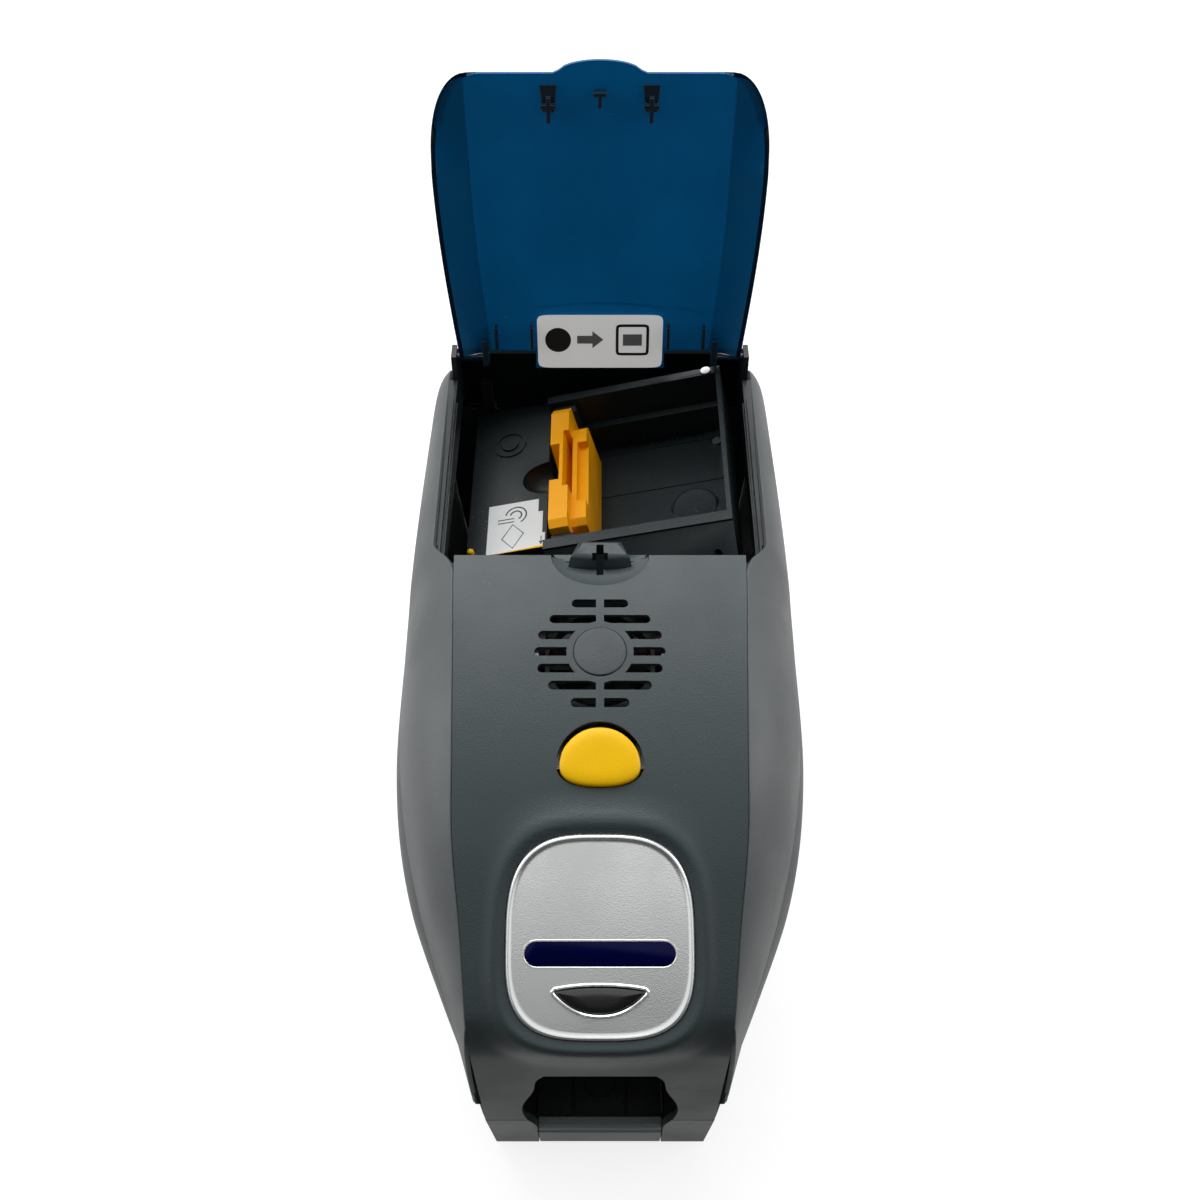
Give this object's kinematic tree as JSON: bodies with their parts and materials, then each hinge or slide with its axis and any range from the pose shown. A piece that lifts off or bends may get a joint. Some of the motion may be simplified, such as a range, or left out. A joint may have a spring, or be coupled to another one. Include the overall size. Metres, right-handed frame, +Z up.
{
  "type": "id card printer",
  "caption": "Desktop printer for plastic identity cards, with a tinted feeder cover standing open over a leaning card tray, a front card hopper and a control panel on its sloping nose.",
  "frame": {"origin": "middle of the box round the printer at rest, on the desk", "axes": "+X to the right seen from the front, +Y to the rear, +Z up"},
  "size_m": [0.2, 0.3825, 0.3632],
  "materials": {
    "case_dark": "fine-textured dark grey moulding",
    "case_grey": "satin mid-grey moulding",
    "bay_black": "fine-textured black moulding",
    "sill_grey": "satin grey moulding",
    "pan_black": "black moulding",
    "rubber": "matt",
    "steel": "zinc-plated sheet",
    "bright_steel": "bright turned",
    "label_white": "film label",
    "board_green": "solder mask",
    "chip_black": "moulded",
    "motor_black": "black",
    "bush_cream": "natural acetal",
    "brass": "turned",
    "roller_rubber": "ground rubber",
    "head_ceramic": "plain",
    "plate_silver": "silver paint",
    "display": "dark blue window",
    "key_black": "glossy",
    "button_yellow": "satin",
    "pusher_orange": "satin",
    "cover_blue": "tinted clear moulding",
    "cover_parts": "tinted clear moulding",
    "ribbon_colour": "wound film",
    "ribbon_used": "wound film"
  },
  "bodies": {
    "chassis": {"base_pan": "pan_black", "base_front": "case_dark", "hopper_sill": "sill_grey", "hopper_tray": "bay_black", "side_panel_left": "case_grey", "side_panel_right": "case_grey", "rear_panel": "case_dark", "feet": "rubber", "frame_left": "steel", "frame_right": "steel", "frame_ties": "bright_steel", "card_guide": "steel", "tray_bracket": "steel", "feeder_tray": "bay_black", "feeder_plate": "bay_black", "tray_screws": "bright_steel", "loading_label": "label_white", "main_board": "board_green", "board_parts": "chip_black", "power_inlet": "pan_black", "data_port": "steel", "motor": "motor_black", "idler_studs": "bright_steel", "roller_bushes": "bush_cream", "hinge_brackets": "bay_black"},
    "lid": {"top_cover": "case_dark", "lid_side_left": "case_grey", "lid_side_right": "case_grey", "bay_frame": "bay_black", "lid_hinge": "bay_black", "panel_plate": "plate_silver", "display_window": "display", "display_board": "board_green", "vent_disc": "sill_grey", "cover_catch": "case_dark", "head_bracket": "steel", "print_head": "head_ceramic", "fan_housing": "bay_black"},
    "cover": {"feeder_cover": "cover_blue", "cover_clips": "cover_parts", "cover_pins": "cover_parts", "cover_label": "label_white"},
    "release": {"release_button": "button_yellow"},
    "latch": {"latch_bar": "steel"},
    "key": {"control_button": "key_black"},
    "pusher": {"card_pusher": "pusher_orange", "pusher_guides": "bay_black"},
    "supply": {"supply_ribbon": "ribbon_colour"},
    "takeup": {"takeup_ribbon": "ribbon_used"},
    "platen": {"platen_roller": "roller_rubber", "platen_gear": "bush_cream"},
    "exit": {"exit_roller": "roller_rubber", "exit_gear": "bush_cream"},
    "feed": {"feed_roller": "roller_rubber", "feed_gear": "bush_cream"},
    "idler_a": {"idler_front": "bush_cream"},
    "idler_b": {"idler_rear": "bush_cream"},
    "pinion": {"motor_pinion": "brass"},
    "fan": {"fan_rotor": "bay_black"},
    "rocker": {"power_switch": "pan_black"}
  },
  "joints": [
    {"name": "lid_swing", "type": "hinge", "parent": "chassis", "child": "lid", "pos_m": [0, 0.17272, 0.16999], "axis": [-1, 0, 0], "range_deg": [0, 60]},
    {"name": "cover_swing", "type": "hinge", "parent": "lid", "child": "cover", "pos_m": [0, 0.15072, 0.223], "axis": [1, 0, 0], "range_deg": [0, 108]},
    {"name": "release_press", "type": "slide", "parent": "lid", "child": "release", "axis": [0, 0.2964, -0.9551], "range_m": [0, 0.003], "stiffness_N_per_m": 400, "springref_m": -0.002},
    {"name": "latch_swing", "type": "hinge", "parent": "lid", "child": "latch", "pos_m": [0, -0.09627, 0.17988], "axis": [-1, 0, 0], "range_deg": [0, 13]},
    {"name": "key_press", "type": "slide", "parent": "lid", "child": "key", "axis": [0, 0.5256, -0.8507], "range_m": [0, 0.001], "stiffness_N_per_m": 600, "springref_m": -0.001},
    {"name": "pusher_slide", "type": "slide", "parent": "chassis", "child": "pusher", "axis": [0.9703, 0, 0.2419], "range_m": [0, 0.062]},
    {"name": "supply_turn", "type": "hinge", "parent": "chassis", "child": "supply", "pos_m": [0, 0.00174, 0.152], "axis": [1, 0, 0], "continuous": true},
    {"name": "takeup_turn", "type": "hinge", "parent": "chassis", "child": "takeup", "pos_m": [0, -0.07327, 0.142], "axis": [1, 0, 0], "continuous": true},
    {"name": "platen_turn", "type": "hinge", "parent": "chassis", "child": "platen", "pos_m": [0, -0.03727, 0.102], "axis": [1, 0, 0], "continuous": true},
    {"name": "exit_turn", "type": "hinge", "parent": "chassis", "child": "exit", "pos_m": [0, -0.08327, 0.102], "axis": [1, 0, 0], "continuous": true},
    {"name": "feed_turn", "type": "hinge", "parent": "chassis", "child": "feed", "pos_m": [0, 0.00873, 0.102], "axis": [1, 0, 0], "continuous": true},
    {"name": "idler_front_turn", "type": "hinge", "parent": "chassis", "child": "idler_a", "pos_m": [0, -0.06027, 0.08786], "axis": [1, 0, 0], "continuous": true},
    {"name": "idler_rear_turn", "type": "hinge", "parent": "chassis", "child": "idler_b", "pos_m": [0, -0.01427, 0.08786], "axis": [1, 0, 0], "continuous": true},
    {"name": "pinion_turn", "type": "hinge", "parent": "chassis", "child": "pinion", "pos_m": [0, -0.06027, 0.06786], "axis": [1, 0, 0], "continuous": true},
    {"name": "fan_turn", "type": "hinge", "parent": "lid", "child": "fan", "pos_m": [0, -0.02977, 0.20158], "axis": [0, -0.1749, 0.9846], "continuous": true},
    {"name": "switch_rock", "type": "hinge", "parent": "chassis", "child": "rocker", "pos_m": [0.058, 0.17372, 0.042], "axis": [-1, 0, 0], "range_deg": [0, 9]}
  ],
  "couplings": [
    {"joint": "exit_turn", "follows": "platen_turn", "ratio": 1},
    {"joint": "feed_turn", "follows": "platen_turn", "ratio": 1},
    {"joint": "idler_front_turn", "follows": "platen_turn", "ratio": -0.92857},
    {"joint": "idler_rear_turn", "follows": "platen_turn", "ratio": -0.92857},
    {"joint": "pinion_turn", "follows": "platen_turn", "ratio": 2.1667},
    {"joint": "latch_swing", "follows": "release_press", "rad_per_m": 71.4}
  ]
}
